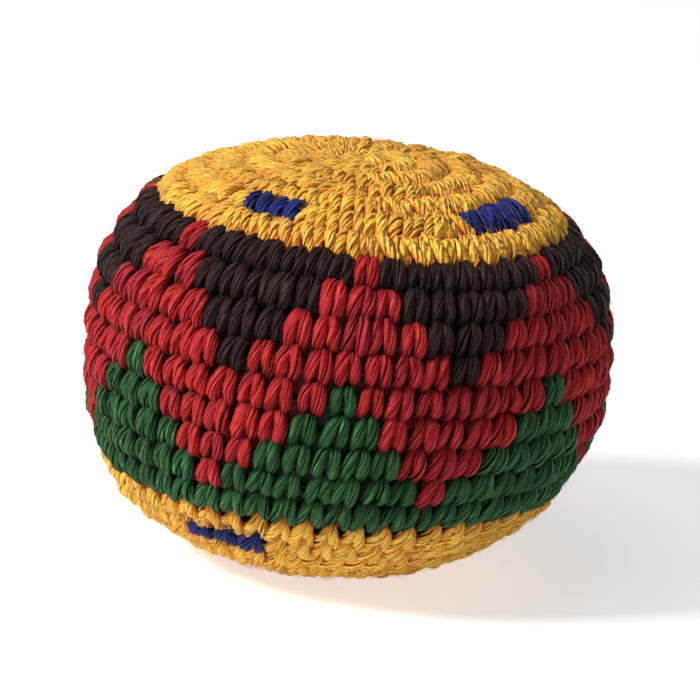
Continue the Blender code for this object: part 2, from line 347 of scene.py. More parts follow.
def tubeMesh(name, rings, length, tone, depth, settled=False):
    # one closed tube for each ply; the fibre map runs along it and round it
    tubes, sections, sides = rings.shape[:3]
    corner = np.arange(tubes * sections * sides).reshape(tubes, sections, sides)
    here, there = corner[:, :-1], corner[:, 1:]
    quads = np.stack([here, np.roll(here, -1, 2), np.roll(there, -1, 2), there], -1).reshape(-1, 4)
    caps = np.concatenate([corner[:, 0, ::-1], corner[:, -1]])
    mesh = bpy.data.meshes.new(name)
    mesh.vertices.add(corner.size)
    places = rings if settled else settle(rings)
    mesh.vertices.foreach_set("co", places.reshape(-1).astype(np.float32))
    loops = np.concatenate([quads.reshape(-1), caps.reshape(-1)])
    mesh.loops.add(len(loops))
    mesh.loops.foreach_set("vertex_index", loops.astype(np.int32))
    starts = np.concatenate([np.arange(len(quads)) * 4, quads.size + np.arange(len(caps)) * sides])
    mesh.polygons.add(len(starts))
    mesh.polygons.foreach_set("loop_start", starts.astype(np.int32))
    mesh.polygons.foreach_set("use_smooth", np.ones(len(starts), bool))
    mesh.update(calc_edges=True)
    alongTube = np.broadcast_to(length[:, :, None] / mm, corner.shape)
    strand = yarn["strandShift"] * np.arange(tubes)[:, None, None] % yarn["strandWrap"]
    roundTube = np.broadcast_to(np.arange(sides) / sides, corner.shape) + strand
    turn, nextTurn = roundTube[:, :-1], roundTube[:, :-1] + 1 / sides
    acrossQuad = np.stack([turn, nextTurn, nextTurn, turn], -1)
    downQuad = np.stack([alongTube[:, :-1], alongTube[:, :-1], alongTube[:, 1:], alongTube[:, 1:]], -1)
    quadMap = np.stack([downQuad, acrossQuad], -1).reshape(-1, 2)
    capMap = np.stack([alongTube, roundTube], -1).reshape(-1, 2)[caps.reshape(-1)]
    fibre = np.concatenate([quadMap, capMap]).reshape(-1).astype(np.float32)
    mesh.uv_layers.new(name="fibre").data.foreach_set("uv", fibre)
    for label, values in (("tone", tone), ("depth", depth)):
        spread = np.broadcast_to(values, corner.shape).reshape(-1).astype(np.float32)
        mesh.attributes.new(label, "FLOAT", "POINT").data.foreach_set("value", spread)
    mesh.validate()
    return mesh


# a stitch's leg, as its way across the cell, down it and under the crests; a cell is one unit wide and high

stitch = {
    # across, down, depth in mm, thickness
    "rightLeg": (
        (0.03, -0.34, 2.40, 0.66),
        (0.06, -0.49, 1.60, 0.82),
        (0.13, -0.46, 0.95, 0.98),
        (0.20, -0.28, 0.60, 1.08),
        (0.24, -0.04, 0.48, 1.14),
        (0.26, 0.18, 0.58, 1.10),
        (0.26, 0.38, 0.95, 0.96),
        (0.25, 0.53, 1.60, 0.82),
        (0.24, 0.62, 2.40, 0.70),
    ),
    "sections": 12,
    "leftSinks": 0.10 * mm,  # the left leg dives a little earlier, under its neighbour
    "narrowest": 0.6,  # a pointed stitch's least width, as a share of its mean
    "widthsAt": (-0.5, 0.1, 0.6),  # down the stitch: where it is gathered, as wide as its cell, and spread
    "footStarts": 0.2,  # how far down a leg its top ends and its foot starts
    "sharedTone": 0.7,  # how much of its tone a ply has from its stitch
    # how far the stitches differ
    "twistSpread": 0.02 / mm,
    "shift": 0.035,
    "lean": 0.06,
    "stretch": 0.07,
    "sink": 0.09 * mm,
    "wobble": 0.02,
    "firstSeed": 1,
    "firstAccentSeed": 60,
}


def stitchPiece(name, cells, colour, node, seed, gather, spread, reach, fat=1.0, rise=1.0, lean=0.0):
    rng = np.random.default_rng(seed)
    cells = np.array(cells)
    count = len(cells)
    leg = np.array(stitch["rightLeg"])
    legs = np.repeat(np.stack([leg, leg])[None], count, 0)  # stitches x right and left x points x values
    legs[:, 1, :, 0] *= -1
    legs[..., 0] *= np.interp(legs[..., 1], stitch["widthsAt"], [gather, 1, spread])
    foot = legs[..., 1] > stitch["footStarts"]
    legs[..., 1] += (np.where(foot, reach, rise) - 1) * (legs[..., 1] - stitch["footStarts"])
    legs[..., 2] /= np.where(foot, reach, 1)
    legs[..., 0] += lean * (legs[..., 1] - stitch["footStarts"])
    legs[..., 0] += stitch["shift"] * rng.standard_normal((count, 1, 1))
    legs[..., 0] += stitch["lean"] * rng.standard_normal((count, 1, 1)) * legs[..., 1]
    legs[..., 1] *= 1 + stitch["stretch"] * rng.standard_normal((count, 1, 1))
    legs[..., 1] += stitch["shift"] * rng.standard_normal((count, 1, 1)) / 2
    legs[..., :2] += stitch["wobble"] * rng.standard_normal(legs[..., :2].shape)
    legs[..., 2] = legs[..., 2] * mm + stitch["sink"] * rng.standard_normal((count, 2, 1))
    legs[:, 1, :, 2] += stitch["leftSinks"]
    legs[..., 3] *= fat * (1 + stitch["stretch"] * rng.standard_normal((count, 2, 1)))
    path = smoothCurve(legs, stitch["sections"])
    across, down, depth, thick = np.moveaxis(path, -1, 0)
    row = cells[:, 0]
    upper, lower = lineArc(row), lineArc(row + 1)
    arc = (upper + lower)[:, None, None] / 2 + down * (lower - upper)[:, None, None]
    share = np.clip(down + 0.5, 0, 1)
    left = cells[:, 1, None, None] * (1 - share) + cells[:, 3, None, None] * share
    right = cells[:, 2, None, None] * (1 - share) + cells[:, 4, None, None] * share
    meanWidth = (cells[:, 2] - cells[:, 1] + cells[:, 4] - cells[:, 3]) / 2
    width = np.maximum(right - left, stitch["narrowest"] * meanWidth[:, None, None])
    angle = (left + right) / 2 + across * width
    centre = onBag(angle, arc, depth).reshape(count * 2, stitch["sections"], 3)
    outward = unit(onBag(angle, arc, depth - mm).reshape(centre.shape) - centre)
    turn = angle.reshape(count * 2, -1)
    sideways = np.stack([-np.sin(turn), np.cos(turn), np.zeros_like(turn)], -1)
    thick = thick.reshape(count * 2, -1)
    phase = rng.uniform(0, 2 * math.pi, count * 2)
    twist = yarnColours[colour]["twist"] / mm + stitch["twistSpread"] * rng.standard_normal(count * 2)
    rings, length = twistedRings(centre, sideways, thick, twist, phase, yarn, rng)
    depth = vertexDepth(rings, centre, outward, depth.reshape(count * 2, -1))
    plies = yarn["plies"]
    rings = rings.reshape(-1, stitch["sections"], yarn["plySides"], 3)
    stitchTone = np.repeat(rng.uniform(0, 1, count), 2 * plies)
    plyTone = rng.uniform(0, 1, count * 2 * plies)
    tone = plyTone + stitch["sharedTone"] * (stitchTone - plyTone)
    mesh = tubeMesh(name, rings, np.repeat(length, plies, 0), tone[:, None, None], depth)
    addPiece(name, mesh, finishes[colour], node)


def addPiece(name, mesh, material, node=None):
    piece = bpy.data.objects.new(name, mesh)
    bpy.context.scene.collection.objects.link(piece)
    mesh.materials.append(material)
    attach(piece, "root")
    if node:
        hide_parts(node)


# finishes

def screenColour(red, green, blue):
    # a colour as a screen shows it, 0 to 255, for a shader
    shares = np.array([red, green, blue]) / 255
    return (*np.where(shares <= 0.04045, shares / 12.92, ((shares + 0.055) / 1.055) ** 2.4).tolist(), 1)


def addNode(tree, kind, inputs=None, **settings):
    node = tree.nodes.new(kind)
    for label, value in settings.items():
        setattr(node, label, value)
    for label, value in (inputs or {}).items():
        if isinstance(value, bpy.types.NodeSocket):
            tree.links.new(value, node.inputs[label])
        else:
            node.inputs[label].default_value = value
    return node


def rampNode(tree, factor, stops):
    node = addNode(tree, "ShaderNodeValToRGB", {"Fac": factor})
    ramp = node.color_ramp
    while len(ramp.elements) < len(stops):
        ramp.elements.new(0.5)
    for element, (place, colour) in zip(ramp.elements, stops):
        element.position = place
        element.color = colour
    return node.outputs["Color"]


def mathNode(tree, operation, *values):
    return addNode(tree, "ShaderNodeMath", dict(enumerate(values)), operation=operation).outputs[0]


def rangeNode(tree, value, low, high, start=0.0, end=1.0):
    # start where the value is low, end where it is high
    inputs = {"Value": value, "From Min": low, "From Max": high, "To Min": start, "To Max": end}
    return addNode(tree, "ShaderNodeMapRange", inputs).outputs[0]


def noiseNode(tree, place, scale, detail, roughness=0.5):
    inputs = {"Vector": place, "Scale": scale, "Detail": detail, "Roughness": roughness}
    return addNode(tree, "ShaderNodeTexNoise", inputs).outputs["Fac"]


def mixNode(tree, share, first, second):
    return addNode(tree, "ShaderNodeMix", {0: share, 2: first, 3: second}).outputs[0]


def colourMix(tree, share, first, second, blend="MIX"):
    inputs = {0: share, 6: first, 7: second}
    return addNode(tree, "ShaderNodeMix", inputs, data_type="RGBA", blend_type=blend).outputs[2]


def newMaterial(name):
    material = bpy.data.materials.new(name)
    material.use_nodes = True
    tree = material.node_tree
    return material, tree, tree.nodes["Principled BSDF"]


yarnColours = {
    # four colours on a screen: painted shade in the gaps, painted shade in the grooves that the dark fibre
    # streaks share, the body, and pale streaks, part fibre tone and part painted highlight; then gloss is the
    # specular level, fuzz the sheen, drift how far the hue wanders from stitch to stitch, dullest its least
    # brightness, and twist the turns in each mm
    "yellow": {
        "paintedGapShade": (218, 98, 26), "deep": (252, 154, 46), "body": (255, 196, 60), "pale": (255, 242, 156),
        "gloss": 0.42, "fuzz": 0.24, "drift": 0.011, "dullest": 0.93, "twist": 0.17,
    },
    "brown": {
        "paintedGapShade": (18, 10, 10), "deep": (28, 15, 15), "body": (43, 24, 23), "pale": (88, 62, 60),
        "gloss": 0.14, "fuzz": 0.01, "drift": 0.004, "dullest": 0.8, "twist": 0.08,
    },
    "red": {
        "paintedGapShade": (64, 14, 16), "deep": (132, 20, 22), "body": (185, 26, 29), "pale": (232, 94, 84),
        "gloss": 0.26, "fuzz": 0.015, "drift": 0.004, "dullest": 0.8, "twist": 0.08,
    },
    "green": {
        "paintedGapShade": (10, 24, 13), "deep": (14, 48, 20), "body": (28, 82, 36), "pale": (104, 166, 102),
        "gloss": 0.28, "fuzz": 0.03, "drift": 0.007, "dullest": 0.8, "twist": 0.08,
    },
    "blue": {
        "paintedGapShade": (5, 6, 20), "deep": (9, 13, 54), "body": (16, 23, 100), "pale": (44, 62, 164),
        "gloss": 0.26, "fuzz": 0.02, "drift": 0.005, "dullest": 0.8, "twist": 0.08,
    },
}
yarnFinish = {
    # streaks of fibre, coarse and fine: how many in each mm of yarn, and how many round it
    "fibreAlong": 0.45,
    "fibreRound": 6.0,
    "fineAlong": 1.1,
    "fineRound": 17.0,
    "fibreSlant": 0.10,
    "fineShare": 0.4,
    "streakDetail": 2.0,
    "streakRoughness": 0.6,
    # dark streaks are part fibre tone, part painted shade between fibres; pale ones part fibre tone, part
    # painted highlight
    "streakStops": (0.36, 0.47, 0.54, 0.66),  # deep, body, body, pale
    "bumpDepth": 0.12 * mm,
    "bumpStrength": 0.9,
    "roughSpan": (0.3, 0.7),
    "roughness": (0.72, 0.46),  # in a deep streak and on a pale one
    "sheenRoughness": 0.45,
    # patches of tone over the bag, mixed with the tone of each stitch
    "patchSize": 7 * mm,
    "patchDetail": 2.0,
    "toneShare": 0.5,
    "toneSpan": (0.25, 0.75),
    "brightest": 1.18,
    "hueMiddle": 0.498,
    # in mm, painted shade by depth: full colour above the first depth, the painted groove shade at the second,
    # the painted gap shade at the third
    "crestDepth": 0.10,
    "grooveDepth": 0.72,
    "gapDepth": 1.50,
}


def yarnMaterial(colour):
    facts, look = yarnColours[colour], yarnFinish
    paintedGapShade, deep, body, pale = (screenColour(*facts[label]) for label in ("paintedGapShade", "deep", "body", "pale"))
    material, tree, shader = newMaterial(f"{colour} yarn")
    tone = addNode(tree, "ShaderNodeAttribute", attribute_name="tone").outputs["Fac"]
    depth = addNode(tree, "ShaderNodeAttribute", attribute_name="depth").outputs["Fac"]
    fibre = addNode(tree, "ShaderNodeUVMap", uv_map="fibre").outputs["UV"]
    parts = addNode(tree, "ShaderNodeSeparateXYZ", {"Vector": fibre}).outputs
    slant = mathNode(tree, "MULTIPLY_ADD", parts["X"], look["fibreSlant"], parts["Y"])
    streaks = []
    for size in ("fibre", "fine"):
        down = mathNode(tree, "MULTIPLY", parts["X"], look[f"{size}Along"])
        turn = mathNode(tree, "MULTIPLY", slant, look[f"{size}Round"])
        place = addNode(tree, "ShaderNodeCombineXYZ", {"X": down, "Y": turn}).outputs[0]
        streaks.append(noiseNode(tree, place, 1.0, look["streakDetail"], look["streakRoughness"]))
    streak = mixNode(tree, look["fineShare"], *streaks)
    # fibre streaks: part fibre tone, part painted shade on the dark streaks and painted highlight on the pale
    # ones
    streaked = rampNode(tree, streak, tuple(zip(look["streakStops"], (deep, body, body, pale))))
    where = addNode(tree, "ShaderNodeTexCoord").outputs["Object"]
    patch = noiseNode(tree, where, 1 / look["patchSize"], look["patchDetail"])
    unevenTone = mixNode(tree, look["toneShare"], patch, tone)
    value = rangeNode(tree, unevenTone, *look["toneSpan"], facts["dullest"], look["brightest"])
    hues = look["hueMiddle"] - facts["drift"], look["hueMiddle"] + facts["drift"]
    hue = rangeNode(tree, unevenTone, *look["toneSpan"], *hues)
    tint = {"Hue": hue, "Value": value, "Color": streaked}
    varied = addNode(tree, "ShaderNodeHueSaturation", tint).outputs[0]
    # painted shade by depth: the groove colour below the crests and the gap colour further down, where the legs
    # dive into the holes
    paintedShadeFade = rangeNode(tree, depth, look["grooveDepth"], look["crestDepth"])
    gapShadeShare = rangeNode(tree, depth, look["grooveDepth"], look["gapDepth"])
    shaded = colourMix(tree, paintedShadeFade, deep, varied)
    tree.links.new(colourMix(tree, gapShadeShare, shaded, paintedGapShade), shader.inputs["Base Color"])
    rough = rangeNode(tree, streak, *look["roughSpan"], *look["roughness"])
    tree.links.new(rough, shader.inputs["Roughness"])
    bump = {"Height": streak, "Strength": look["bumpStrength"], "Distance": look["bumpDepth"]}
    tree.links.new(addNode(tree, "ShaderNodeBump", bump).outputs[0], shader.inputs["Normal"])
    shader.inputs["Specular IOR Level"].default_value = facts["gloss"]
    shader.inputs["Sheen Weight"].default_value = facts["fuzz"]
    shader.inputs["Sheen Roughness"].default_value = look["sheenRoughness"]
    shader.inputs["Sheen Tint"].default_value = pale
    return material


finishes = {colour: yarnMaterial(colour) for colour in yarnColours}

# the crocheted rows, each colour of yarn as its own pieces

rowPieces = {
    # piece: group of stitches, colour, node it stands for, then how its legs gather at the top, spread below
    # and reach down
    "crown_stitches_inner": ("crown inner", "yellow", "crown_yarn", 1.1, 1.2, 1.2),
    "crown_stitches_outer": ("crown outer", "yellow", "crown_yarn", 1.0, 1.25, 1.3),
    "crown_stitches_border": ("crown border", "yellow", "crown_yarn", 1.0, 1.35, 1.2),
    "red_stitches_upper": ("red upper", "red", "red_zigzag", 1.0, 1.0, 1.0),
    "red_stitches_lower": ("red lower", "red", "red_zigzag", 1.0, 1.0, 1.0),
    "green_stitches_peaks": ("green peaks", "green", "green_band", 1.0, 1.0, 1.0),
    "green_stitches_band": ("green band", "green", "green_band", 1.0, 1.6, 1.25),
    "base_stitches_border": ("base border", "yellow", "base_yarn", 0.4, 1.9, 1.7),
    "base_stitches_outer": ("base 1", "yellow", "base_yarn", 0.6, 1.7, 1.35),
    "base_stitches_middle": ("base 2", "yellow", "base_yarn", 0.7, 1.5, 1.2),
    "base_stitches_inner": ("base 3", "yellow", "base_yarn", 0.8, 1.3, 1.1),
}
for number in range(1, crochet["patternRepeats"] + 1):
    rowPieces[f"brown_stitches_{number}"] = (f"brown {number}", "brown", f"brown_field_{number}", 1.0, 1.0, 1.0)
for seed, (name, (group, colour, node, *shape)) in enumerate(rowPieces.items(), start=stitch["firstSeed"]):
    stitchPiece(name, groups[group], colour, node, seed, *shape)

accentRows = {
    # row, accents, how their legs gather, spread and reach down, then for each accent how fat it is, how far
    # it reaches up and how far it leans
    "crown": (crochet["crownRounds"] - crochet["accentRound"], crochet["crownAccents"], 1.0, 1.05, 1.15,
              ((1.25, 1.35, 0.5), (1.25, 1.1, 0.0), (0.95, 1.0, 0.0), (0.95, 1.0, 0.0))),
    "base": (baseStart + crochet["accentRound"] - 1, crochet["baseAccents"], 0.5, 0.95, 1.25,
             ((1.2, 1.0, 0.0),) * len(crochet["baseAccents"])),
}
for place, (row, accents, gather, spread, reach, sizes) in accentRows.items():
    for number, (accent, size) in enumerate(zip(accents, sizes), start=1):
        seed = stitch["firstAccentSeed"] + row + number
        stitchPiece(f"{place}_accent_stitches_{number}", accentCells(row, *accent), "blue",
                    f"{place}_accent_{number}", seed, gather, spread, reach, *size)
print("stitches: done")


# the back of the fabric, seen through the holes: one closed skin that bulges behind each stitch

back = {
    "outerDepth": 1.75 * mm,
    "innerDepth": 2.75 * mm,
    "bulge": 0.25 * mm,
    "turnsPerStitch": 4,
    "stepsPerRow": 4,
    "rimInset": 0.25,  # how far it stops short of the crown's and the base's middle, in rows
    "fibreTurns": 3,  # across one stitch
    "shadeDepth": 1.0,
    "tone": 0.5,
}


def fabricBack():
    turns = stitchesAround * back["turnsPerStitch"]
    steps = lastLine * back["stepsPerRow"]
    line = np.linspace(back["rimInset"], lastLine - back["rimInset"], steps)
    angle = np.arange(turns) * 2 * math.pi / turns
    lineStarts = np.array([lineTurn(value) for value in line])[:, None]
    across = (angle[None] - lineStarts) * stitchesAround / (2 * math.pi)
    bump = np.abs(np.sin(math.pi * line))[:, None] * np.abs(np.sin(math.pi * across))
    rings = []
    for depth in (back["outerDepth"] - back["bulge"] * bump, back["innerDepth"] + back["bulge"] * bump):
        rings.append(onBag(angle[None], lineArc(line)[:, None], depth))
    points = np.concatenate([rings[0].reshape(-1, 3), rings[1].reshape(-1, 3)])
    faces, colours = [], []
    names = list(yarnColours)
    for layer in (0, 1):
        for step in range(steps - 1):
            row = int((line[step] + line[step + 1]) / 2)
            for turn in range(turns):
                here = (layer * steps + step) * turns + turn
                beside = (layer * steps + step) * turns + (turn + 1) % turns
                face = [here, here + turns, beside + turns, beside]
                faces.append(face if layer == 0 else face[::-1])
                column = int(across[step, turn]) % stitchesAround
                inPattern = crochet["crownRounds"] <= row < baseStart  # elsewhere it is yellow, the first yarn
                colours.append(names.index(colourOf(row, column).split()[0]) if inPattern else 0)
    for end in (0, steps - 1):
        rim = [[(layer * steps + end) * turns + turn for turn in range(turns)] for layer in (0, 1)]
        faces += [rim[0] if end == 0 else rim[0][::-1], rim[1][::-1] if end == 0 else rim[1]]
        colours += [0, 0]
    mesh = bpy.data.meshes.new("fabric_back")
    mesh.from_pydata(settle(points).tolist(), [], faces)
    for name in names:
        mesh.materials.append(finishes[name])
    mesh.polygons.foreach_set("material_index", np.array(colours, np.int32))
    mesh.polygons.foreach_set("use_smooth", np.ones(len(faces), bool))
    corners = np.empty(len(mesh.loops), np.int32)
    mesh.loops.foreach_get("vertex_index", corners)
    fibreRound = np.arange(turns) / back["turnsPerStitch"] * back["fibreTurns"]
    grid = np.stack(np.meshgrid(lineArc(line) / mm, fibreRound, indexing="ij"), -1)
    fibre = np.concatenate([grid.reshape(-1, 2)] * 2)[corners]
    mesh.uv_layers.new(name="fibre").data.foreach_set("uv", fibre.reshape(-1).astype(np.float32))
    for label, value in (("depth", back["shadeDepth"]), ("tone", back["tone"])):
        shade = np.full(len(points), value, np.float32)
        mesh.attributes.new(label, "FLOAT", "POINT").data.foreach_set("value", shade)
    piece = bpy.data.objects.new("fabric_back", mesh)
    bpy.context.scene.collection.objects.link(piece)
    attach(piece, "root")


fabricBack()
print("fabric back: done")


# loose fibres that stand off the yarn

fuzz = {
    "perStitch": 12,
    "length": (0.5 * mm, 2.0 * mm),
    "rise": (0.1 * mm, 0.7 * mm),
    "arch": (1.2, 2.8),  # in radians of a wave; close to half a turn, a fibre comes back down to the yarn
    "veer": 0.9,  # how far a fibre turns on its way
    "radius": 0.019 * mm,
    "thickness": (0.7, 1.3),
    "taper": 0.6,
    "sections": 6,
    "sides": 3,
    "tone": (0.5, 1),
    # where a fibre leaves the yarn: under the crests, down the stitch and across it
    "start": 0.25 * mm,
    "down": (0.1, 0.85),
    "across": (0.15, 0.85),
    "firstSeed": 100,
}


def fuzzPiece(name, cells, colour, seed):
    rng = np.random.default_rng(seed)
    cells = np.repeat(np.array(cells), fuzz["perStitch"], 0)
    count, sections = len(cells), fuzz["sections"]
    share = rng.uniform(*fuzz["down"], count)
    across = rng.uniform(*fuzz["across"], count)
    left = cells[:, 1] * (1 - share) + cells[:, 3] * share
    right = cells[:, 2] * (1 - share) + cells[:, 4] * share
    angle = left * (1 - across) + right * across
    arc = lineArc(cells[:, 0] + share)
    step = np.linspace(0, 1, sections)
    length = rng.uniform(*fuzz["length"], count)[:, None]
    heading = rng.uniform(0, 2 * math.pi, count)[:, None] + rng.normal(0, fuzz["veer"], count)[:, None] * step
    rise = rng.uniform(*fuzz["rise"], count)[:, None]
    rise = rise * np.sin(step * rng.uniform(*fuzz["arch"], count)[:, None])
    start = onBag(angle, arc, np.full(count, fuzz["start"]))
    outward = unit(start - onBag(angle, arc, np.full(count, mm)))
    sideways = np.stack([-np.sin(angle), np.cos(angle), np.zeros(count)], -1)
    down = np.cross(sideways, outward)
    strides = np.concatenate([np.zeros((count, 1)), np.diff(step)[None] * length], 1)
    goneAcross = np.cumsum(strides * np.cos(heading), 1)
    goneDown = np.cumsum(strides * np.sin(heading), 1)
    centre = start[:, None] + sideways[:, None] * goneAcross[..., None] + down[:, None] * goneDown[..., None]
    centre = centre + outward[:, None] * rise[..., None]
    radius = fuzz["radius"] * rng.uniform(*fuzz["thickness"], count)[:, None] * (1 - fuzz["taper"] * step)
    rings = tubeRings(centre, np.repeat(outward[:, None], sections, 1), radius, fuzz["sides"])
    tone = rng.uniform(*fuzz["tone"], count)[:, None, None]
    mesh = tubeMesh(name, rings, np.cumsum(strides, 1), tone, np.zeros((1, 1, 1)))
    addPiece(name, mesh, finishes[colour])


fuzzGroups = {
    "crown_fuzz": ("yellow", ("crown inner", "crown outer", "crown border")),
    "base_fuzz": ("yellow", ("base border", "base 1", "base 2", "base 3")),
    "red_fuzz": ("red", ("red upper", "red lower")),
    "green_fuzz": ("green", ("green peaks", "green band")),
    "brown_fuzz": ("brown", [f"brown {number}" for number in range(1, crochet["patternRepeats"] + 1)]),
    "blue_fuzz": ("blue", ("accent",)),
}
for seed, (name, (colour, names)) in enumerate(fuzzGroups.items(), start=fuzz["firstSeed"]):
    fuzzPiece(name, [cell for group in names for cell in groups[group]], colour, seed)
print("fuzz: done")


# yarns that aren't in use are carried inside the stitches, and show as dark strands between the legs

carried = {
    # piece: colour, rows, how far down the row, depth
    "carried_brown": ("brown", range(crochet["crownRounds"] - crochet["outerRounds"],
                                     baseStart + crochet["accentRound"]), 0.05, 1.45 * mm),
    "carried_green": ("green", range(crochet["crownRounds"], baseStart), 0.30, 1.5 * mm),
}
carriedYarn = {
    "plies": 3,
    "plyOffset": 0.22 * mm,
    "plyRadius": 0.24 * mm,
    "plySides": 5,
    "uneven": 0.08,
    "stray": 0.15,
    "twist": (0.10, 0.14),  # turns in each mm
    "sectionsPerStitch": 3,
    "ripple": 0.05,  # how far it rides up and down at each stitch, in rows
    "bulge": 0.12 * mm,
    "looseTurn": 6,  # in radians, the most that a strand's ripple and twist start late
    "shadeDepth": 1.1,
    "firstSeed": 80,
}


def carriedPiece(name, colour, rows, down, depth, seed):
    rng = np.random.default_rng(seed)
    rows = np.array(rows)
    sections = stitchesAround * carriedYarn["sectionsPerStitch"] + 1
    angle = np.repeat(np.linspace(0, 2 * math.pi, sections)[None], len(rows), 0)
    ripple = np.sin(angle * stitchesAround + rng.uniform(0, carriedYarn["looseTurn"], (len(rows), 1)))
    place = rows[:, None] + 0.5 + down + carriedYarn["ripple"] * ripple
    depth = depth + carriedYarn["bulge"] * np.cos(angle * stitchesAround)
    centre = onBag(angle, lineArc(place), depth)
    outward = unit(onBag(angle, lineArc(place), depth - mm) - centre)
    twist = rng.uniform(*carriedYarn["twist"], len(rows)) / mm
    phase = rng.uniform(0, carriedYarn["looseTurn"], len(rows))
    rings, length = twistedRings(centre, outward, np.ones(angle.shape), twist, phase, carriedYarn, rng)
    depths = vertexDepth(rings, centre, outward, depth)
    plies = carriedYarn["plies"]
    rings = rings.reshape(-1, sections, carriedYarn["plySides"], 3)
    tone = rng.uniform(0, 1, len(rings))[:, None, None]
    shade = np.minimum(depths, carriedYarn["shadeDepth"])
    mesh = tubeMesh(name, rings, np.repeat(length, plies, 0), tone, shade)
    addPiece(name, mesh, finishes[colour])


for seed, (name, (colour, rows, down, depth)) in enumerate(carried.items(), start=carriedYarn["firstSeed"]):
    carriedPiece(name, colour, rows, down, depth, seed)
print("carried yarns: done")


# inside: the loops that gather the first and the last round, the knot, and the pellets

loopYarn = {
    "radius": 2.2 * mm,
    "turns": 1.06,  # a loop's ends lie side by side
    "twist": 0.16 / mm,
    "plies": 4,
    "plyOffset": 0.31 * mm,
    "plyRadius": 0.26 * mm,
    "plySides": 6,
    "uneven": 0.06,
    "stray": 0.10,
    "sections": 60,
}
knotYarn = {
    "width": 0.27 * mm,
    "height": 0.42 * mm,
    "twist": 0.3 / mm,
    "plies": 3,
    "plyOffset": 0.13 * mm,
    "plyRadius": 0.135 * mm,
    "plySides": 6,
    "uneven": 0.05,
    "stray": 0.08,
    "sections": 90,
}
loose = {"tone": (0.3, 0.7), "shadeDepth": 0.3, "firstSeed": 90}


def boxMiddle(node):
    low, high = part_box(node)
    return (np.array(low) + np.array(high)) / 2


def loosePiece(name, centre, look, node, seed):
    # a length of yarn inside the bag, in the middle of the solid that it stands for
    rng = np.random.default_rng(seed)
    upward = np.broadcast_to([0.0, 0.0, 1.0], centre.shape)
    thick, twist = np.ones((1, len(centre))), np.array([look["twist"]])
    rings, length = twistedRings(centre[None], upward[None], thick, twist, np.zeros(1), look, rng)
    rings = rings[0] + (boxMiddle(node) - (rings.min((0, 1, 2, 3)) + rings.max((0, 1, 2, 3))) / 2)
    tone = rng.uniform(*loose["tone"], len(rings))[:, None, None]
    shade = np.full((1, 1, 1), loose["shadeDepth"])
    mesh = tubeMesh(name, rings, np.repeat(length, len(rings), 0), tone, shade, settled=True)
    addPiece(name, mesh, finishes["yellow"], node)


turn = np.linspace(0, 2 * math.pi * loopYarn["turns"], loopYarn["sections"])
loop = np.stack([loopYarn["radius"] * np.cos(turn), loopYarn["radius"] * np.sin(turn), np.zeros_like(turn)], -1)
turn = np.linspace(0, 2 * math.pi, knotYarn["sections"])  # the knot is a trefoil
twice = 2 * turn
knot = np.stack([np.sin(turn) + 2 * np.sin(twice), np.cos(turn) - 2 * np.cos(twice), -np.sin(3 * turn)], -1)
knot *= [knotYarn["width"], knotYarn["width"], knotYarn["height"]]
insidePieces = {
    "start_loop": (loop, loopYarn, "start_ring"),
    "closing_loop": (loop, loopYarn, "closing_ring"),
    "tied_knot": (knot, knotYarn, "finishing_knot"),
}
for seed, (name, (centre, look, node)) in enumerate(insidePieces.items(), start=loose["firstSeed"]):
    loosePiece(name, centre, look, node, seed)

pellets = {
    "radius": 1.55 * mm,
    "smallest": 0.9,  # as a share of that radius
    "flatness": 0.75,
    "spacing": 3.35 * mm,
    "jitter": 0.1 * mm,
    "outlineDepth": 4.95 * mm,  # how far under the crests a pellet's middle stays
    "knotClear": 4.7 * mm,
    "specks": ((0.35, (206, 200, 186)), (0.6, (232, 228, 218))),
    "speckSize": 0.5 * mm,
    "speckDetail": 3.0,
    "clouds": ((0.4, (255, 250, 238)), (0.6, (236, 236, 236))),
    "cloudSize": 2.5 * mm,
    "cloudDetail": 1.0,
    "roughness": (0.3, 0.55),
    "bumpDepth": 0.05 * mm,
    "bumpStrength": 0.3,
    "seed": 95,
}


def pelletPlaces(rng):
    # close-packed layers, shaken a little, kept inside the fabric and clear of the knot
    low, high = np.array(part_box("pellet_fill")[0]), np.array(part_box("pellet_fill")[1])
    step = pellets["spacing"]
    across = math.ceil(bag["widestRadius"] / step)
    layerRise, rowStep = step * math.sqrt(2 / 3), step * math.sqrt(3) / 2
    places = []
    for layer in range(int((high[2] - low[2] - 2 * pellets["radius"]) / layerRise) + 1):
        height = low[2] + pellets["radius"] + layer * layerRise
        for line in range(-across, across + 1):
            for column in range(-across, across + 1):
                side = (column + 0.5 * (line % 2) + 0.5 * (layer % 2)) * step
                places.append((side, (line + (layer % 2) / 3) * rowStep, height))
    places = np.array(places) + rng.uniform(-1, 1, (len(places), 3)) * pellets["jitter"]
    rise = places[:, 2] - middleHeight
    radius = np.hypot(places[:, 0], places[:, 1])
    exponent = np.where(rise > 0, bag["crownExponent"], bag["baseExponent"])
    reach = np.where(rise > 0, crownHeight, baseDepth) - pellets["outlineDepth"]
    wide = bag["widestRadius"] - pellets["outlineDepth"]
    fullness = (radius / wide) ** exponent + (np.abs(rise) / reach) ** exponent
    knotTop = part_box("finishing_knot")[1][2]
    nearKnot = (radius < pellets["knotClear"]) & (places[:, 2] < knotTop + 2 * pellets["radius"])
    return places[(fullness < 1) & ~nearKnot & (places[:, 2] < high[2] - pellets["radius"])]


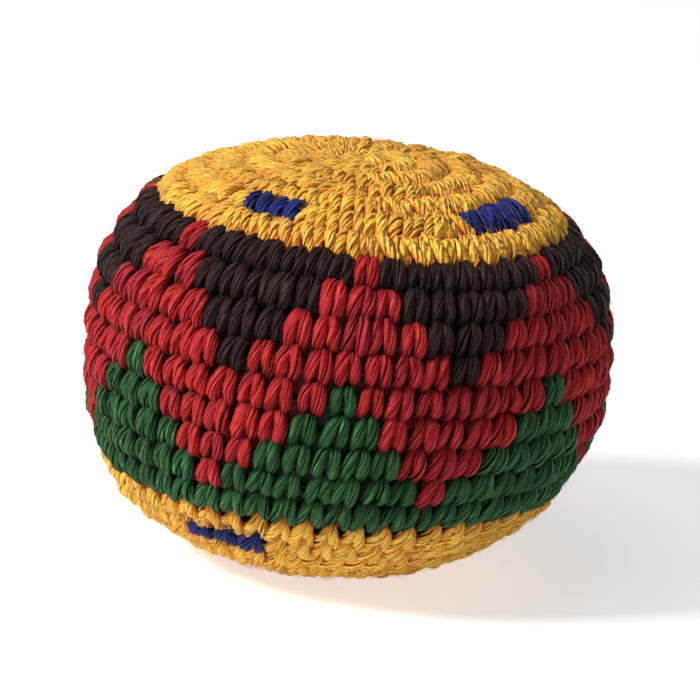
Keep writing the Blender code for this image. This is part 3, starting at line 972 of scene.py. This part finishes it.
def pelletMaterial():
    material, tree, shader = newMaterial("pellets")
    where = addNode(tree, "ShaderNodeTexCoord").outputs["Object"]
    noises, shades = {}, {}
    for label in ("speck", "cloud"):
        noises[label] = noiseNode(tree, where, 1 / pellets[f"{label}Size"], pellets[f"{label}Detail"])
        stops = [(place, screenColour(*colour)) for place, colour in pellets[f"{label}s"]]
        shades[label] = rampNode(tree, noises[label], stops)
    milky = colourMix(tree, 1.0, shades["speck"], shades["cloud"], "MULTIPLY")
    tree.links.new(milky, shader.inputs["Base Color"])
    rough = rangeNode(tree, noises["speck"], 0.0, 1.0, *pellets["roughness"])
    tree.links.new(rough, shader.inputs["Roughness"])
    bump = {"Height": noises["speck"], "Strength": pellets["bumpStrength"], "Distance": pellets["bumpDepth"]}
    tree.links.new(addNode(tree, "ShaderNodeBump", bump).outputs[0], shader.inputs["Normal"])
    return material


def pelletPiece():
    rng = np.random.default_rng(pellets["seed"])
    ball = bmesh.new()
    bmesh.ops.create_icosphere(ball, subdivisions=2, radius=pellets["radius"])
    corners = np.array([vert.co for vert in ball.verts]) * [1, 1, pellets["flatness"]]
    faces = np.array([[vert.index for vert in face.verts] for face in ball.faces])
    ball.free()
    places = pelletPlaces(rng)
    turns = unit(rng.standard_normal((len(places), 4)))
    w, x, y, z = turns.T
    spin = np.stack([1 - 2 * (y * y + z * z), 2 * (x * y - z * w), 2 * (x * z + y * w),
                     2 * (x * y + z * w), 1 - 2 * (x * x + z * z), 2 * (y * z - x * w),
                     2 * (x * z - y * w), 2 * (y * z + x * w), 1 - 2 * (x * x + y * y)], -1).reshape(-1, 3, 3)
    size = rng.uniform(pellets["smallest"], 1, (len(places), 1, 1))
    points = np.einsum("nij,kj->nki", spin, corners) * size + places[:, None]
    allFaces = faces[None] + (np.arange(len(places)) * len(corners))[:, None, None]
    mesh = bpy.data.meshes.new("pellets")
    mesh.from_pydata(settle(points).reshape(-1, 3).tolist(), [], allFaces.reshape(-1, 3).tolist())
    mesh.polygons.foreach_set("use_smooth", np.ones(len(mesh.polygons), bool))
    addPiece("pellets", mesh, pelletMaterial(), "pellet_fill")
    return len(places)


print("inside:", pelletPiece(), "pellets")


# camera, lights and floor

view = {
    "elevation": math.radians(15.49),
    "roll": math.radians(4.65),
    "distance": 440 * mm,
    "pixelsPerRadius": 261.84,  # the widest radius in the photograph, in pixels
    "middlePixel": (348.7, 346.7),  # where the bag's middle shows
    "imageSize": 700,
    "sensor": 36.0,
    "clip": (10 * mm, 20),
}


def placeCamera():
    rise, roll = view["elevation"], view["roll"]
    toCamera = Vector((0, -math.cos(rise), math.sin(rise)))
    level, upright = Vector((1, 0, 0)), Vector((0, math.sin(rise), math.cos(rise)))
    right = level * math.cos(roll) + upright * math.sin(roll)
    up = upright * math.cos(roll) - level * math.sin(roll)
    metresPerPixel = bag["widestRadius"] / view["pixelsPerRadius"]
    centre = view["imageSize"] / 2
    aim = Vector((0, 0, middleHeight))
    aim += right * (centre - view["middlePixel"][0]) * metresPerPixel
    aim -= up * (centre - view["middlePixel"][1]) * metresPerPixel
    data = bpy.data.cameras.new("camera")
    focalPixels = view["distance"] / metresPerPixel
    data.sensor_width = view["sensor"]
    data.lens = focalPixels * view["sensor"] / view["imageSize"]
    data.clip_start, data.clip_end = view["clip"]
    camera = bpy.data.objects.new("camera", data)
    bpy.context.scene.collection.objects.link(camera)
    turned = Matrix((right, up, toCamera)).transposed().to_4x4()
    camera.matrix_world = Matrix.Translation(aim + toCamera * view["distance"]) @ turned
    bpy.context.scene.camera = camera


placeCamera()

lamps = {
    # where it hangs, how wide it is, how many watts
    "key": ((-0.50, -0.24, 0.45), 0.16, 4.8),
    "top": ((-0.10, -0.10, 0.60), 0.30, 0.45),
    "fill": ((-0.32, -0.55, 0.04), 0.30, 0.22),
    "rim": ((0.42, 0.36, 0.12), 0.30, 0.15),
}
for name, (place, width, watts) in lamps.items():
    data = bpy.data.lights.new(name, "AREA")
    data.size, data.energy = width, watts
    lamp = bpy.data.objects.new(name, data)
    bpy.context.scene.collection.objects.link(lamp)
    lamp.location = place
    lamp.rotation_euler = (Vector((0, 0, middleHeight)) - Vector(place)).to_track_quat("-Z", "Y").to_euler()


def seenDirectly(tree):
    # 1 for the camera's own rays and for what gloss or glass shows, 0 for light that falls on the bag
    rays = addNode(tree, "ShaderNodeLightPath").outputs
    seen = rays["Is Camera Ray"]
    for other in ("Is Glossy Ray", "Is Transmission Ray"):
        seen = mathNode(tree, "MAXIMUM", seen, rays[other])
    return seen


def makeWorld(daylight):
    world = bpy.data.worlds.new("studio")
    world.use_nodes = True
    tree = world.node_tree
    strength = mixNode(tree, seenDirectly(tree), daylight, 1.0)
    tree.nodes["Background"].inputs["Color"].default_value = (1, 1, 1, 1)
    tree.links.new(strength, tree.nodes["Background"].inputs["Strength"])
    bpy.context.scene.world = world


makeWorld(daylight=0.095)


paper = {
    "halfWidth": 3.0,
    "grey": 0.9,
    "roughness": 0.9,
    "gloss": 0.1,
    "glow": 0.58,  # what is added where the floor is seen, so that it shows white
    "bounce": 0.30,  # what is added where it lights the bag
}


def makeFloor():
    mesh = bpy.data.meshes.new("floor")
    half = paper["halfWidth"]
    corners = [(-half, -half, 0), (half, -half, 0), (half, half, 0), (-half, half, 0)]
    mesh.from_pydata(corners, [], [(0, 1, 2, 3)])
    floor = bpy.data.objects.new("floor", mesh)
    bpy.context.scene.collection.objects.link(floor)
    material, tree, shader = newMaterial("pale floor")
    shader.inputs["Base Color"].default_value = (paper["grey"], paper["grey"], paper["grey"], 1)
    shader.inputs["Roughness"].default_value = paper["roughness"]
    shader.inputs["Specular IOR Level"].default_value = paper["gloss"]
    lit = []
    for strength in (paper["bounce"], paper["glow"]):
        light = addNode(tree, "ShaderNodeEmission", {"Color": (1, 1, 1, 1), "Strength": strength}).outputs[0]
        lit.append(addNode(tree, "ShaderNodeAddShader", {0: shader.outputs[0], 1: light}).outputs[0])
    mixed = addNode(tree, "ShaderNodeMixShader", {0: seenDirectly(tree), 1: lit[0], 2: lit[1]}).outputs[0]
    tree.links.new(mixed, tree.nodes["Material Output"].inputs["Surface"])
    mesh.materials.append(material)
    floor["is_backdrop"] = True


makeFloor()
bpy.context.scene.view_settings.view_transform = "Standard"
print("camera, lights and floor: done")

sizes = {"cad": [list(corner) for corner in cadBox], "visual": [list(corner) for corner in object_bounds()]}
